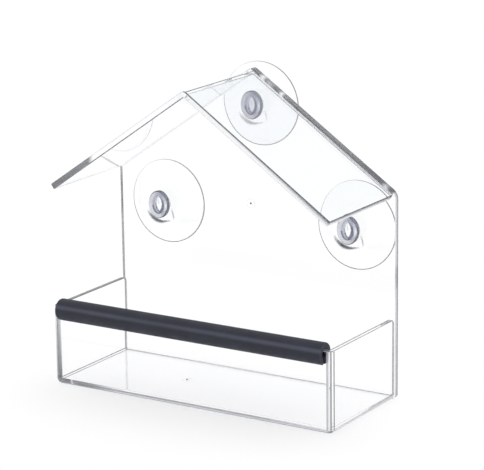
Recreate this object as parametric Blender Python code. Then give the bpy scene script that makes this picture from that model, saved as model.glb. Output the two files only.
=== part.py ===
"""A clear window bird feeder: a house-shaped panel, a V roof, a seed tray, a foam perch and suction cups.

Metres, +Z up. The window is on the +Y side and the bird comes from the -Y side. Z = 0 is the underside
of the tray and the panel, and the origin is the middle of the whole feeder's footprint.
"""
import math

import bmesh
import bpy
from mathutils import Vector

# Clearances and counts
GAP = 0.0003
CUT_OVERRUN = 0.002
CORNER_STEPS = 5
HOLE_SIDES = 40
CUP_SIDES = 40
SKIRT_STEPS = 4
PERCH_STEPS = 24
BORE_STEPS = 14
FLAT_ANGLE = math.radians(30)

# Back panel: a pentagon, with the eaves and the apex given where its straight edges would meet
PANEL_WIDTH = 0.150
PANEL_THICKNESS = 0.003
EAVE_HEIGHT = 0.0967
ROOF_RISE = 0.0513
EAVE_RADIUS = 0.0055
APEX_RADIUS = 0.0025
FOOT_RADIUS = 0.002
HOLE_RADIUS = 0.0043
LOWER_CUP_INSET = 0.0233
LOWER_CUP_DROP = 0.0191
UPPER_CUP_DROP = 0.0187

# Roof: a V of even thickness, just inside the panel's outline, with ends cut square to the sheet
ROOF_REACH = 0.060
ROOF_THICKNESS = 0.0029
ROOF_SETBACK = 0.0008
ROOF_EAVE_INSET = 0.0008
RIDGE_RADIUS = 0.0025

# Seed tray: a floor, two sides and a front wall, open at the top and closed by the panel behind
TRAY_REACH = 0.0605
TRAY_HEIGHT = 0.0385
TRAY_WALL = 0.0025
TRAY_EDGE_RADIUS = 0.0027
TRAY_REAR_RADIUS = 0.002

# Perch sleeve: a foam tube slit along its underside, sitting on the front wall
PERCH_END_SPACE = 0.0015
PERCH_BORE_LEDGE = 0.00095
PERCH_FOAM = 0.0026

# Suction cup: a head in front of the panel, a neck in the hole, and a shoulder and skirt behind it
CUP_RADIUS = 0.0203
CUP_STAND_OFF = 0.0053
CUP_LIP_WIDTH = 0.0015
CUP_SHOULDER_LEDGE = 0.0053
SHOULDER_SHARE = 0.28
RIM_SHARE = 0.15
DISH_SHARE = 0.53
HEAD_SIDE_LEDGE = 0.0012
HEAD_TALL_LEDGE = 0.0024
HEAD_LENGTH = 0.0026
HEAD_ROUND = 0.001
HEAD_RING_WIDTH = 0.0023
RECESS_DEPTH = 0.0018
SKIRT_CURVE_SHARE = 0.5

# Sizes worked out from those above
HALF_WIDTH = PANEL_WIDTH / 2
APEX_HEIGHT = EAVE_HEIGHT + ROOF_RISE
SLOPE = math.atan2(ROOF_RISE, HALF_WIDTH)
SLIT_HALF_WIDTH = TRAY_WALL / 2 + GAP
BORE_RADIUS = SLIT_HALF_WIDTH + PERCH_BORE_LEDGE
PERCH_RADIUS = BORE_RADIUS + PERCH_FOAM
PERCH_REACH = TRAY_REACH - TRAY_WALL / 2
PERCH_HEIGHT = TRAY_HEIGHT - math.sqrt((BORE_RADIUS - GAP) ** 2 - (TRAY_WALL / 2) ** 2)
PERCH_HALF_LENGTH = HALF_WIDTH - TRAY_WALL - PERCH_END_SPACE
PANEL_REAR_Y = (PERCH_REACH + PERCH_RADIUS - CUP_STAND_OFF) / 2
PANEL_FRONT_Y = PANEL_REAR_Y - PANEL_THICKNESS
LOWER_CUP_X = HALF_WIDTH - LOWER_CUP_INSET
CUP_PLACES = {
    "suction_cup_top": (0, APEX_HEIGHT - UPPER_CUP_DROP),
    "suction_cup_left": (-LOWER_CUP_X, EAVE_HEIGHT - LOWER_CUP_DROP),
    "suction_cup_right": (LOWER_CUP_X, EAVE_HEIGHT - LOWER_CUP_DROP),
}


def clear_scene():
    """Remove the objects that the scene starts with."""
    for thing in list(bpy.data.objects):
        bpy.data.objects.remove(thing, do_unlink=True)


def plastic(name, colour, roughness, transmission, alpha=1.0):
    """A material with the piece's colour and finish."""
    material = bpy.data.materials.new(name)
    material.use_nodes = True
    shader = material.node_tree.nodes["Principled BSDF"]
    shader.inputs["Base Color"].default_value = (*colour, 1)
    shader.inputs["Roughness"].default_value = roughness
    shader.inputs["Metallic"].default_value = 0
    shader.inputs["Transmission Weight"].default_value = transmission
    shader.inputs["Alpha"].default_value = alpha
    material.diffuse_color = (*colour, alpha)
    return material


def add_object(name, mesh_data, material, place=(0, 0, 0)):
    """Turn a bmesh into a named object with outward faces and smooth round sides."""
    bmesh.ops.recalc_face_normals(mesh_data, faces=mesh_data.faces)
    mesh = bpy.data.meshes.new(name)
    mesh_data.to_mesh(mesh)
    mesh_data.free()
    mesh.shade_smooth()
    mesh.set_sharp_from_angle(angle=FLAT_ANGLE)
    mesh.materials.append(material)
    thing = bpy.data.objects.new(name, mesh)
    thing.location = place
    bpy.context.scene.collection.objects.link(thing)
    return thing


def cut(target, cutter):
    """Subtract the cutter from the target and hide it."""
    cutter.hide_render = True
    cutter.display_type = "WIRE"
    modifier = target.modifiers.new("cut_" + cutter.name, "BOOLEAN")
    modifier.operation = "DIFFERENCE"
    modifier.solver = "EXACT"
    modifier.object = cutter


def arc(centre, radius, start, end, steps):
    """Points (x, z) on an arc between two angles, both ends included."""
    angles = [start + (end - start) * i / steps for i in range(steps + 1)]
    return [(centre[0] + radius * math.cos(a), centre[1] + radius * math.sin(a)) for a in angles]


def rounded_outline(corners, radii):
    """A closed outline (x, z) through the corners, each rounded to its radius."""
    points = []
    for i, (corner, radius) in enumerate(zip(corners, radii)):
        here = Vector(corner)
        before = (Vector(corners[i - 1]) - here).normalized()
        after = (Vector(corners[(i + 1) % len(corners)]) - here).normalized()
        if radius == 0:
            points.append(tuple(here))
            continue
        half_angle = before.angle(after) / 2
        bisector = (before + after).normalized()
        centre = here + bisector * (radius / math.sin(half_angle))
        first = here + before * (radius / math.tan(half_angle)) - centre
        last = here + after * (radius / math.tan(half_angle)) - centre
        start = math.atan2(first.y, first.x)
        turn = math.remainder(math.atan2(last.y, last.x) - start, math.tau)
        points += arc(centre, radius, start, start + turn, CORNER_STEPS)
    return points


def prism(ring, travel):
    """A closed ring of points drawn along a straight line."""
    solid = bmesh.new()
    face = solid.faces.new([solid.verts.new(point) for point in ring])
    made = bmesh.ops.extrude_face_region(solid, geom=[face])
    moved = [item for item in made["geom"] if isinstance(item, bmesh.types.BMVert)]
    bmesh.ops.translate(solid, vec=travel, verts=moved)
    return solid


def extruded(points, near_y, far_y):
    """A prism: the outline (x, z), drawn from one Y to the other."""
    return prism([(x, near_y, z) for x, z in points], (0, far_y - near_y, 0))


def block(low, high):
    """A box between two corners."""
    outline = [(low[0], low[2]), (high[0], low[2]), (high[0], high[2]), (low[0], high[2])]
    return extruded(outline, low[1], high[1])


def panel_corners():
    """The pentagon's five corners, from the left foot round to the right foot."""
    return [
        (-HALF_WIDTH, 0),
        (-HALF_WIDTH, EAVE_HEIGHT),
        (0, APEX_HEIGHT),
        (HALF_WIDTH, EAVE_HEIGHT),
        (HALF_WIDTH, 0),
    ]


def make_panel():
    """The house-shaped plate, with a round hole for each cup's neck."""
    radii = [FOOT_RADIUS, EAVE_RADIUS, APEX_RADIUS, EAVE_RADIUS, FOOT_RADIUS]
    solid = extruded(rounded_outline(panel_corners(), radii), PANEL_FRONT_Y, PANEL_REAR_Y)
    panel = add_object("back_panel", solid, plastic("clear_panel", (0.93, 0.95, 0.97), 0.05, 0.9, 0.3))
    for name, (x, z) in CUP_PLACES.items():
        circle = arc((x, z), HOLE_RADIUS, 0, math.tau, HOLE_SIDES)[:-1]
        hole = extruded(circle, PANEL_FRONT_Y - CUT_OVERRUN, PANEL_REAR_Y + CUT_OVERRUN)
        cut(panel, add_object("hole_for_" + name, hole, panel.data.materials[0]))


def make_roof():
    """The V roof: its top lies a little below the panel's sloping edges and follows their slope."""
    along = Vector((math.cos(SLOPE), -math.sin(SLOPE)))
    inward = Vector((-math.sin(SLOPE), -math.cos(SLOPE)))
    ridge = APEX_HEIGHT - ROOF_SETBACK / math.cos(SLOPE)
    eave_x = HALF_WIDTH - ROOF_EAVE_INSET
    eave = Vector((0, ridge)) + along * (eave_x / along.x)
    under = eave + inward * ROOF_THICKNESS
    under_ridge = ridge - ROOF_THICKNESS / math.cos(SLOPE)
    corners = [
        (-under.x, under.y),
        (-eave.x, eave.y),
        (0, ridge),
        tuple(eave),
        tuple(under),
        (0, under_ridge),
    ]
    points = rounded_outline(corners, [0, 0, RIDGE_RADIUS, 0, 0, 0])
    solid = extruded(points, PANEL_REAR_Y - ROOF_REACH, PANEL_FRONT_Y - GAP)
    add_object("roof", solid, plastic("clear_roof", (0.92, 0.95, 0.98), 0.05, 0.9, 0.3))


def round_edges(solid, edges, radius):
    """Round the edges to a radius."""
    bmesh.ops.bevel(
        solid,
        geom=edges,
        offset=radius,
        segments=CORNER_STEPS,
        profile=0.5,
        affect="EDGES",
    )


def is_outer_edge(edge, front_y):
    """True for the tray's bottom edges at the front and sides and for its two upright front edges."""
    ends = [vert.co for vert in edge.verts]
    on_bottom = all(abs(end.z) < GAP for end in ends)
    on_front = all(abs(end.y - front_y) < GAP for end in ends)
    on_side = all(abs(abs(end.x) - HALF_WIDTH) < GAP and end.x * ends[0].x > 0 for end in ends)
    return (on_bottom and (on_front or on_side)) or (on_front and on_side)


def make_tray():
    """An open box whose back is the panel: the outside is rounded, and the seed space is cut out of it."""
    front_y = PANEL_REAR_Y - TRAY_REACH
    rear_y = PANEL_FRONT_Y - GAP
    solid = block((-HALF_WIDTH, front_y, 0), (HALF_WIDTH, rear_y, TRAY_HEIGHT))
    round_edges(solid, [edge for edge in solid.edges if is_outer_edge(edge, front_y)], TRAY_EDGE_RADIUS)
    top_rear = [
        edge for edge in solid.edges
        if all(abs(v.co.y - rear_y) < GAP and abs(v.co.z - TRAY_HEIGHT) < GAP for v in edge.verts)
    ]
    round_edges(solid, top_rear, TRAY_REAR_RADIUS)
    tray = add_object("seed_tray", solid, plastic("clear_tray", (0.92, 0.93, 0.97), 0.05, 0.9, 0.3))
    space = block(
        (-HALF_WIDTH + TRAY_WALL, front_y + TRAY_WALL, TRAY_WALL),
        (HALF_WIDTH - TRAY_WALL, rear_y + CUT_OVERRUN, TRAY_HEIGHT + CUT_OVERRUN),
    )
    cut(tray, add_object("seed_space", space, tray.data.materials[0]))


def make_perch():
    """The slit tube of foam. Its origin is on its own axis, midway along."""
    outer_open = math.asin(SLIT_HALF_WIDTH / PERCH_RADIUS)
    bore_open = math.asin(SLIT_HALF_WIDTH / BORE_RADIUS)
    down = -math.pi / 2
    ring = arc((0, 0), PERCH_RADIUS, down + outer_open, down + math.tau - outer_open, PERCH_STEPS)
    ring += arc((0, 0), BORE_RADIUS, down + math.tau - bore_open, down + bore_open, BORE_STEPS)
    solid = prism([(-PERCH_HALF_LENGTH, y, z) for y, z in ring], (PERCH_HALF_LENGTH * 2, 0, 0))
    foam = plastic("dark_foam", (0.035, 0.037, 0.05), 0.9, 0)
    add_object("perch_sleeve", solid, foam, (0, PANEL_REAR_Y - PERCH_REACH, PERCH_HEIGHT))


def quarter_round(half_width, half_height, y, radius, outwards):
    """Stations that round the head's edge, from its flat face to its side or back again."""
    stations = []
    for i in range(CORNER_STEPS + 1):
        angle = math.pi / 2 * i / CORNER_STEPS
        if not outwards:
            angle = math.pi / 2 - angle
        trim = radius * (1 - math.sin(angle))
        depth = radius * (1 - math.cos(angle)) if outwards else -radius * (1 - math.cos(angle))
        stations.append((half_width - trim, half_height - trim, y + depth))
    return stations


def head_stations():
    """The head, from the floor of its recess out to its rim and back to the neck: (half x, half z, y)."""
    half_width = HOLE_RADIUS + HEAD_SIDE_LEDGE
    half_height = HOLE_RADIUS + HEAD_TALL_LEDGE
    back_y = -PANEL_THICKNESS - GAP
    face_y = back_y - HEAD_LENGTH
    recess = (half_width - HEAD_RING_WIDTH, half_height - HEAD_RING_WIDTH)
    neck = HOLE_RADIUS - GAP
    stations = [(*recess, face_y + RECESS_DEPTH), (*recess, face_y)]
    stations += quarter_round(half_width, half_height, face_y, HEAD_ROUND, True)
    stations += quarter_round(half_width, half_height, back_y, HEAD_ROUND, False)
    stations += [(neck, neck, back_y)]
    return stations


def skirt_stations():
    """The neck's end, the shoulder, and the skirt out to its lip and back to the middle of its dish."""
    neck = HOLE_RADIUS - GAP
    shoulder = HOLE_RADIUS + CUP_SHOULDER_LEDGE
    dish_radius = CUP_RADIUS - CUP_LIP_WIDTH
    shoulder_y = CUP_STAND_OFF * SHOULDER_SHARE
    rim_y = CUP_STAND_OFF * (1 - RIM_SHARE)
    stations = [(neck, GAP), (shoulder, GAP)]
    for i in range(SKIRT_STEPS + 1):
        share = i / SKIRT_STEPS
        drop = share * (1 - SKIRT_CURVE_SHARE) + share ** 2 * SKIRT_CURVE_SHARE
        radius = shoulder + (CUP_RADIUS - shoulder) * share
        stations.append((radius, shoulder_y + (rim_y - shoulder_y) * drop))
    stations += [(CUP_RADIUS, CUP_STAND_OFF), (dish_radius, CUP_STAND_OFF)]
    for i in range(1, SKIRT_STEPS):
        radius = dish_radius * (1 - i / SKIRT_STEPS)
        depth = CUP_STAND_OFF * DISH_SHARE * (1 - (radius / dish_radius) ** 2)
        stations.append((radius, CUP_STAND_OFF - depth))
    return [(radius, radius, y) for radius, y in stations]


def make_cup(name, place, material):
    """One cup, turned about its own axis. Its origin is on that axis, level with the panel's rear face."""
    solid = bmesh.new()
    rings = []
    for half_x, half_z, y in head_stations() + skirt_stations():
        angles = [math.tau * i / CUP_SIDES for i in range(CUP_SIDES)]
        rings.append([solid.verts.new((half_x * math.cos(a), y, half_z * math.sin(a))) for a in angles])
    for near, far in zip(rings, rings[1:]):
        for i in range(CUP_SIDES):
            solid.faces.new((near[i - 1], near[i], far[i], far[i - 1]))
    solid.faces.new(rings[0])
    solid.faces.new(rings[-1])
    add_object(name, solid, material, (place[0], PANEL_REAR_Y, place[1]))


def main():
    """Build every piece."""
    clear_scene()
    make_panel()
    make_roof()
    make_tray()
    make_perch()
    for name, place in CUP_PLACES.items():
        make_cup(name, place, plastic("clear_" + name, (0.9, 0.93, 0.97), 0.08, 0.85, 0.4))


main()
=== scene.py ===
"""A clear window bird feeder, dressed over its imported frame.

Metres, +Z up. The window is on the +Y side, and the bird comes from the -Y side.
"""
import math

import bmesh
import bpy
from bpy.props import FloatProperty, FloatVectorProperty, IntProperty, PointerProperty
from bpy.types import Operator, Panel, PropertyGroup
from mathutils import Matrix, Vector, noise


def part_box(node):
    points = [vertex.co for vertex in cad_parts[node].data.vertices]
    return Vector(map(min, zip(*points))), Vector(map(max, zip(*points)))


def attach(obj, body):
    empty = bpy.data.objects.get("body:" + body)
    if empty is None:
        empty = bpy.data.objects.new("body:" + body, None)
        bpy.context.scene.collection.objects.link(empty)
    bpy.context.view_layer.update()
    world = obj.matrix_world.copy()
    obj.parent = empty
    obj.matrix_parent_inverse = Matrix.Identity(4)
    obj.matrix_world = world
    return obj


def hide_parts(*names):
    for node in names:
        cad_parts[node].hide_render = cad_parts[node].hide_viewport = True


bl_info = {
    "name": "Window bird feeder",
    "version": (1, 0, 0),
    "blender": (4, 5, 0),
    "location": "View3D > Sidebar > Feeder",
    "description": "Builds a clear window bird feeder with suction cups and a foam perch",
    "category": "Object",
}

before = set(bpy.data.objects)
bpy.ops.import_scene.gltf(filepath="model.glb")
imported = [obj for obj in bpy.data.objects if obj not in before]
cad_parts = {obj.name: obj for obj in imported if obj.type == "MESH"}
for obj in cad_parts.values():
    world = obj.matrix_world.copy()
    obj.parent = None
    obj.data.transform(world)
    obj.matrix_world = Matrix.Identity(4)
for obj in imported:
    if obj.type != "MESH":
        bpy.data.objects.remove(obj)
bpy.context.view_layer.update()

# Each solid's two box corners, worked out once
BOXES = {node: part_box(node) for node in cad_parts}

# The panel's two faces, through which every cup's neck passes
PANEL_FRONT_Y = BOXES["back_panel"][0].y
PANEL_REAR_Y = BOXES["back_panel"][1].y

# The cups and the middles of their boxes
CUP_NAMES = ("top", "left", "right")
CUP_CENTRES = [sum(BOXES["suction_cup_" + side], Vector()) / 2 for side in CUP_NAMES]

# The face-corner attribute, with the painted light and shade, that says how pale an edge is, from 0 for
# black to 1 for white
PAINTED_TONE = "edge_tone"

# A tone is listed as judged, and its value in the attribute is the tone to this power
TONE_POWER = 2.7

# The tone at which the shades of an edge or a head change from dark to middle to light
MIDDLE_TONE = 0.45

# An edge of a sheet that is paler than this is left clear
CLEAR_TONE = 0.93

# A part of a cup that is at least this pale is left clear
CLEAR_CUP_TONE = 0.985

# How strongly the hard plastic of the sheets and the soft plastic of the cups bend light
HARD_PLASTIC_IOR = 1.49
SOFT_PLASTIC_IOR = 1.52

# How far above level the line of painted highlight on the foam faces
CREST_ANGLE = math.radians(26)

# Reflections after which light that runs inside a sheet is let out of it
HELD_LIGHT_BOUNCES = 2.5

# Points nearer to each other than this are one point
SAME_PLACE = 1e-6

# Two faces that meet at more than this have a sharp edge, which is rounded
SHARP_ANGLE = math.radians(30)

# What the colours, the shares and the lengths that a user would change have in common
COLOUR = {"size": 3, "min": 0, "max": 1, "subtype": "COLOR"}
SHARE = {"min": 0, "max": 1, "subtype": "FACTOR"}
LENGTH = {"subtype": "DISTANCE", "unit": "LENGTH"}


class SheetSettings(PropertyGroup):
    """The clear moulded sheets: the panel, the roof and the tray."""

    edge_round: FloatProperty(
        name="Edge rounding",
        description="Radius of the sheets' edges",
        default=0.00045,
        min=0.0001,
        max=0.0008,
        **LENGTH,
    )
    round_steps: IntProperty(
        name="Rounding steps",
        description="Faces across each rounded edge",
        default=3,
        min=1,
        max=6,
    )
    tint: FloatVectorProperty(
        name="Tint",
        description="Colour of the clear plastic",
        default=(0.996, 0.998, 1.0),
        **COLOUR,
    )
    roof_tint: FloatVectorProperty(
        name="Roof tint",
        description="Colour of the roof's plastic, which is seen at a flat angle",
        default=(0.980, 0.990, 0.997),
        **COLOUR,
    )
    # Painted shade, as a deeper tint, on the roof's left side where it is seen through the right one
    doubled_roof_shade: FloatVectorProperty(
        name="Roof behind the roof",
        description="Colour of the roof's left side where it is seen through the right one",
        default=(0.890, 0.912, 0.938),
        **COLOUR,
    )
    tray_tint: FloatVectorProperty(
        name="Tray tint",
        description="Colour of the tray's plastic",
        default=(0.997, 0.998, 1.0),
        **COLOUR,
    )
    mirror: FloatProperty(
        name="Mirroring",
        description="How strongly the clean faces mirror the room, where 1 is bare plastic",
        default=0.35,
        **SHARE,
    )
    tray_mirror: FloatProperty(
        name="Tray's mirroring",
        description="The same for the tray, whose floor shows almost no reflections",
        default=0.18,
        **SHARE,
    )
    # The three shades of the painted light and shade on the sheets' edges, from shadow to light
    edge_dark: FloatVectorProperty(
        name="Edge shadow",
        description="Colour of the darkest edges",
        default=(0.004, 0.005, 0.009),
        **COLOUR,
    )
    edge_middle: FloatVectorProperty(
        name="Edge middle",
        description="Colour of the edges between their shadow and their light",
        default=(0.44, 0.45, 0.48),
        **COLOUR,
    )
    edge_light: FloatVectorProperty(
        name="Edge light",
        description="Colour of the palest edges",
        default=(0.97, 0.975, 0.99),
        **COLOUR,
    )
    edge_clearness: FloatProperty(
        name="Edge clearness",
        description="Share of light that passes through the edges",
        default=0.3,
        **SHARE,
    )
    polish: FloatProperty(
        name="Polish",
        description="Roughness of the clean faces",
        default=0.006,
        **SHARE,
    )
    edge_polish: FloatProperty(
        name="Edge polish",
        description="Roughness of the rounded and cut edges",
        default=0.16,
        **SHARE,
    )


class CupSettings(PropertyGroup):
    """The soft clear suction cups."""

    sides: IntProperty(
        name="Sides",
        description="Faces round each cup",
        default=128,
        min=32,
        max=256,
    )
    tint: FloatVectorProperty(
        name="Tint",
        description="Colour of the soft plastic",
        default=(0.992, 0.995, 1.0),
        **COLOUR,
    )
    # Painted shade on the top and right cups' skirts where they are seen through the roof
    top_roof_shade: FloatVectorProperty(
        name="Top cup behind the roof",
        description="Colour of the top cup's skirt where the roof greys it",
        default=(0.945, 0.954, 0.970),
        **COLOUR,
    )
    right_roof_shade: FloatVectorProperty(
        name="Right cup behind the roof",
        description="Colour of the right cup's skirt where the roof greys it",
        default=(0.968, 0.978, 0.984),
        **COLOUR,
    )
    # The three shades of the painted light and shade on the cups' heads, from shadow to light
    head_shade: FloatVectorProperty(
        name="Head shadow",
        description="Colour of the darkest parts of the cup's head",
        default=(0.006, 0.009, 0.030),
        **COLOUR,
    )
    head_middle: FloatVectorProperty(
        name="Head middle",
        description="Colour of the cup's head between its shadow and its light",
        default=(0.40, 0.42, 0.52),
        **COLOUR,
    )
    head_light: FloatVectorProperty(
        name="Head light",
        description="Colour of the palest parts of the cup's head",
        default=(0.95, 0.96, 1.0),
        **COLOUR,
    )
    head_clearness: FloatProperty(
        name="Head clearness",
        description="Share of light that passes through the head, which is thick and a little milky",
        default=0.28,
        **SHARE,
    )
    polish: FloatProperty(
        name="Polish",
        description="Roughness of the soft plastic",
        default=0.05,
        **SHARE,
    )


class PerchSettings(PropertyGroup):
    """The foam sleeve on the front wall."""

    colour: FloatVectorProperty(
        name="Foam",
        description="Colour of the foam",
        default=(0.0115, 0.0125, 0.0225),
        **COLOUR,
    )
    # The paler flecks of the foam, and the painted highlight along its upper front, share this colour
    fleck_and_highlight_colour: FloatVectorProperty(
        name="Foam flecks and highlight",
        description="Colour of the paler flecks and the rubbed places",
        default=(0.066, 0.072, 0.102),
        **COLOUR,
    )
    stations: IntProperty(
        name="Stations",
        description="Rings along the sleeve",
        default=300,
        min=20,
        max=600,
    )
    unevenness: FloatProperty(
        name="Unevenness",
        description="How far the foam swells and shrinks along its length",
        default=0.00012,
        min=0,
        max=0.001,
        **LENGTH,
    )
    end_softness: FloatProperty(
        name="End softness",
        description="How far the cut ends draw in",
        default=0.0003,
        min=0.0001,
        max=0.002,
        **LENGTH,
    )
    cell_size: FloatProperty(
        name="Cell size",
        description="Size of the foam's closed cells",
        default=0.00045,
        min=0.0001,
        max=0.003,
        **LENGTH,
    )


class StageSettings(PropertyGroup):
    """The floor, the light and the camera."""

    floor_size: FloatProperty(
        name="Floor size",
        description="Width of the pale floor",
        default=12.0,
        min=1,
        **LENGTH,
    )
    floor_colour: FloatVectorProperty(
        name="Floor",
        description="Colour of the floor",
        default=(0.99, 0.99, 0.99),
        **COLOUR,
    )
    sky: FloatProperty(
        name="Room light",
        description="Strength of the light from all round",
        default=0.895,
        min=0,
        max=2,
    )
    lamp: FloatProperty(
        name="Lamp",
        description="Strength of the broad soft lamp",
        default=0.45,
        min=0,
        max=20,
    )
    lamp_spread: FloatProperty(
        name="Lamp spread",
        description="How broad the soft lamp is",
        default=math.radians(80),
        min=0,
        max=math.pi,
        subtype="ANGLE",
        unit="ROTATION",
    )
    camera_place: FloatVectorProperty(
        name="Camera place",
        description="Where the camera stands",
        default=(0.5644, -0.8787, 0.3433),
        size=3,
        subtype="TRANSLATION",
        unit="LENGTH",
    )
    camera_turn: FloatVectorProperty(
        name="Camera turn",
        description="The camera's bearing, tilt and roll",
        default=(math.radians(32.23), math.radians(-14.44), math.radians(-0.77)),
        size=3,
        subtype="EULER",
        unit="ROTATION",
    )
    focal_pixels: FloatProperty(
        name="Focal length in pixels",
        description="The camera's focal length, in pixels of the picture's width",
        default=2359.7,
        min=100,
    )


def sheet_settings():
    """The sizes and colours of the clear sheets."""
    return bpy.context.scene.feeder_sheets


def cup_settings():
    """The sizes and colours of the suction cups."""
    return bpy.context.scene.feeder_cups


def perch_settings():
    """The sizes and colours of the foam perch."""
    return bpy.context.scene.feeder_perch


def stage_settings():
    """The floor, light and camera values."""
    return bpy.context.scene.feeder_stage


def feed(tree, socket, value):
    """Give an input its value, or link it to the socket that feeds it."""
    if isinstance(value, bpy.types.NodeSocket):
        tree.links.new(value, socket)
    else:
        socket.default_value = value


def set_inputs(tree, node, **values):
    """Feed some of a node's inputs, which are given by name."""
    for name, value in values.items():
        feed(tree, node.inputs[name.replace("_", " ")], value)
    return node


def new_node(tree, kind, **values):
    """A node with some of its inputs fed."""
    return set_inputs(tree, tree.nodes.new(kind), **values)


def math_node(tree, operation, first, second):
    """A Math node whose two inputs are sockets or numbers. Returns its output."""
    node = tree.nodes.new("ShaderNodeMath")
    node.operation = operation
    feed(tree, node.inputs[0], first)
    feed(tree, node.inputs[1], second)
    return node.outputs[0]


def mix_colour(tree, share, first, second):
    """A colour mix whose inputs are sockets or values. Returns its output."""
    node = tree.nodes.new("ShaderNodeMix")
    node.data_type = "RGBA"
    feed(tree, node.inputs[0], share)
    feed(tree, node.inputs[6], first)
    feed(tree, node.inputs[7], second)
    return node.outputs[2]


def with_alpha(colour):
    """A colour property as the four numbers that a socket takes."""
    return (*colour, 1)


def add_sockets(tree, inputs, outputs):
    """Add a group's (name, kind, default) inputs and (name, kind) outputs. Returns the sockets inside it."""
    for name, kind, default in inputs:
        socket = tree.interface.new_socket(name, in_out="INPUT", socket_type=kind)
        if default is not None:
            socket.default_value = default
    for name, kind in outputs:
        tree.interface.new_socket(name, in_out="OUTPUT", socket_type=kind)
    return tree.nodes.new("NodeGroupInput").outputs, tree.nodes.new("NodeGroupOutput").inputs


def handled_surface_group():
    """Fine scratches, faint dust and a slow waviness, as a roughness and a height."""
    name = "handled_surface"
    if name in bpy.data.node_groups:
        return bpy.data.node_groups[name]
    tree = bpy.data.node_groups.new(name, "ShaderNodeTree")
    given, made = add_sockets(
        tree,
        [
            ("Base Roughness", "NodeSocketFloat", 0.02),
            ("Scratch Scale", "NodeSocketFloat", 180.0),
            ("Scratch Roughness", "NodeSocketFloat", 0.08),
            ("Wave Scale", "NodeSocketFloat", 18.0),
            ("Wave Height", "NodeSocketFloat", 1.0),
        ],
        [("Roughness", "NodeSocketFloat"), ("Height", "NodeSocketFloat")],
    )
    place = tree.nodes.new("ShaderNodeTexCoord").outputs["Object"]
    stretch = new_node(
        tree, "ShaderNodeMapping", Vector=place, Rotation=(0.4, 0.3, 0.7), Scale=(0.05, 1.0, 1.0)
    )
    scratches = new_node(
        tree, "ShaderNodeTexNoise", Vector=stretch.outputs[0], Scale=given["Scratch Scale"], Detail=2.0
    )
    thin = new_node(tree, "ShaderNodeMapRange", Value=scratches.outputs[0], From_Min=0.60, From_Max=0.68)
    dust = new_node(tree, "ShaderNodeTexNoise", Vector=place, Scale=45.0, Detail=4.0)
    patchy = math_node(tree, "MULTIPLY", thin.outputs[0], dust.outputs[0])
    rubbed = math_node(tree, "MULTIPLY", patchy, given["Scratch Roughness"])
    feed(tree, made["Roughness"], math_node(tree, "ADD", rubbed, given["Base Roughness"]))
    wave = new_node(tree, "ShaderNodeTexNoise", Vector=place, Scale=given["Wave Scale"], Detail=0.0)
    feed(tree, made["Height"], math_node(tree, "MULTIPLY", wave.outputs[0], given["Wave Height"]))
    return tree


def foam_cells_group():
    """Closed foam cells, as a height, and a mask of the paler flecks and of a painted highlight along a
    line.
    """
    tree = bpy.data.node_groups.new("foam_cells", "ShaderNodeTree")
    given, made = add_sockets(
        tree,
        [
            ("Cell Size", "NodeSocketFloat", 0.0005),
            ("Rubbed Share", "NodeSocketFloat", 0.5),
            ("Crest Y", "NodeSocketFloat", 0.0),
            ("Crest Z", "NodeSocketFloat", 0.0),
        ],
        [("Height", "NodeSocketFloat"), ("Rubbed", "NodeSocketFloat")],
    )
    place = tree.nodes.new("ShaderNodeTexCoord").outputs["Object"]
    cell_count = math_node(tree, "DIVIDE", 1.0, given["Cell Size"])
    cells = new_node(tree, "ShaderNodeTexVoronoi", Vector=place, Scale=cell_count)
    grain = new_node(tree, "ShaderNodeTexNoise", Vector=place, Scale=900.0, Detail=3.0)
    feed(tree, made["Height"], math_node(tree, "ADD", cells.outputs["Distance"], grain.outputs[0]))
    patches = new_node(tree, "ShaderNodeTexNoise", Vector=place, Scale=60.0, Detail=5.0, Roughness=0.65)
    grainy = math_node(tree, "ADD", grain.outputs[0], 0.4)
    flecks = math_node(tree, "MULTIPLY", patches.outputs[0], grainy)
    split = new_node(tree, "ShaderNodeSeparateXYZ", Vector=place)
    squares = []
    for axis in "YZ":
        off = math_node(tree, "SUBTRACT", split.outputs[axis], given["Crest " + axis])
        squares.append(math_node(tree, "POWER", off, 2.0))
    away = math_node(tree, "SQRT", math_node(tree, "ADD", *squares), 0.0)
    # A painted highlight along a line on the sleeve's upper front, broken into patches
    crest = new_node(tree, "ShaderNodeMapRange", Value=away, From_Max=0.0017, To_Min=1.0, To_Max=0.0)
    crest.interpolation_type = "SMOOTHSTEP"
    crest_patches = new_node(tree, "ShaderNodeTexNoise", Vector=place, Scale=22.0, Detail=1.0)
    patchy = math_node(tree, "ADD", crest_patches.outputs[0], 0.1)
    lit = math_node(tree, "MULTIPLY", crest.outputs[0], patchy)
    worn = math_node(tree, "MULTIPLY", flecks, given["Rubbed Share"])
    feed(tree, made["Rubbed"], math_node(tree, "ADD", worn, lit))
    return tree


def new_material(name, **values):
    """A material with some of its shader's inputs set. Returns it with its nodes and its shader."""
    material = bpy.data.materials.new(name)
    material.use_nodes = True
    tree = material.node_tree
    return material, tree, set_inputs(tree, tree.nodes["Principled BSDF"], **values)


def add_handled_surface(tree, shader, polish, wave_scale):
    """Drive a shader's roughness and bump from the shared worn surface."""
    surface = tree.nodes.new("ShaderNodeGroup")
    surface.node_tree = handled_surface_group()
    set_inputs(tree, surface, Base_Roughness=polish, Wave_Scale=wave_scale)
    bump = new_node(tree, "ShaderNodeBump", Strength=0.12, Distance=0.0004, Height=surface.outputs["Height"])
    set_inputs(tree, shader, Roughness=surface.outputs["Roughness"], Normal=bump.outputs[0])


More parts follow.
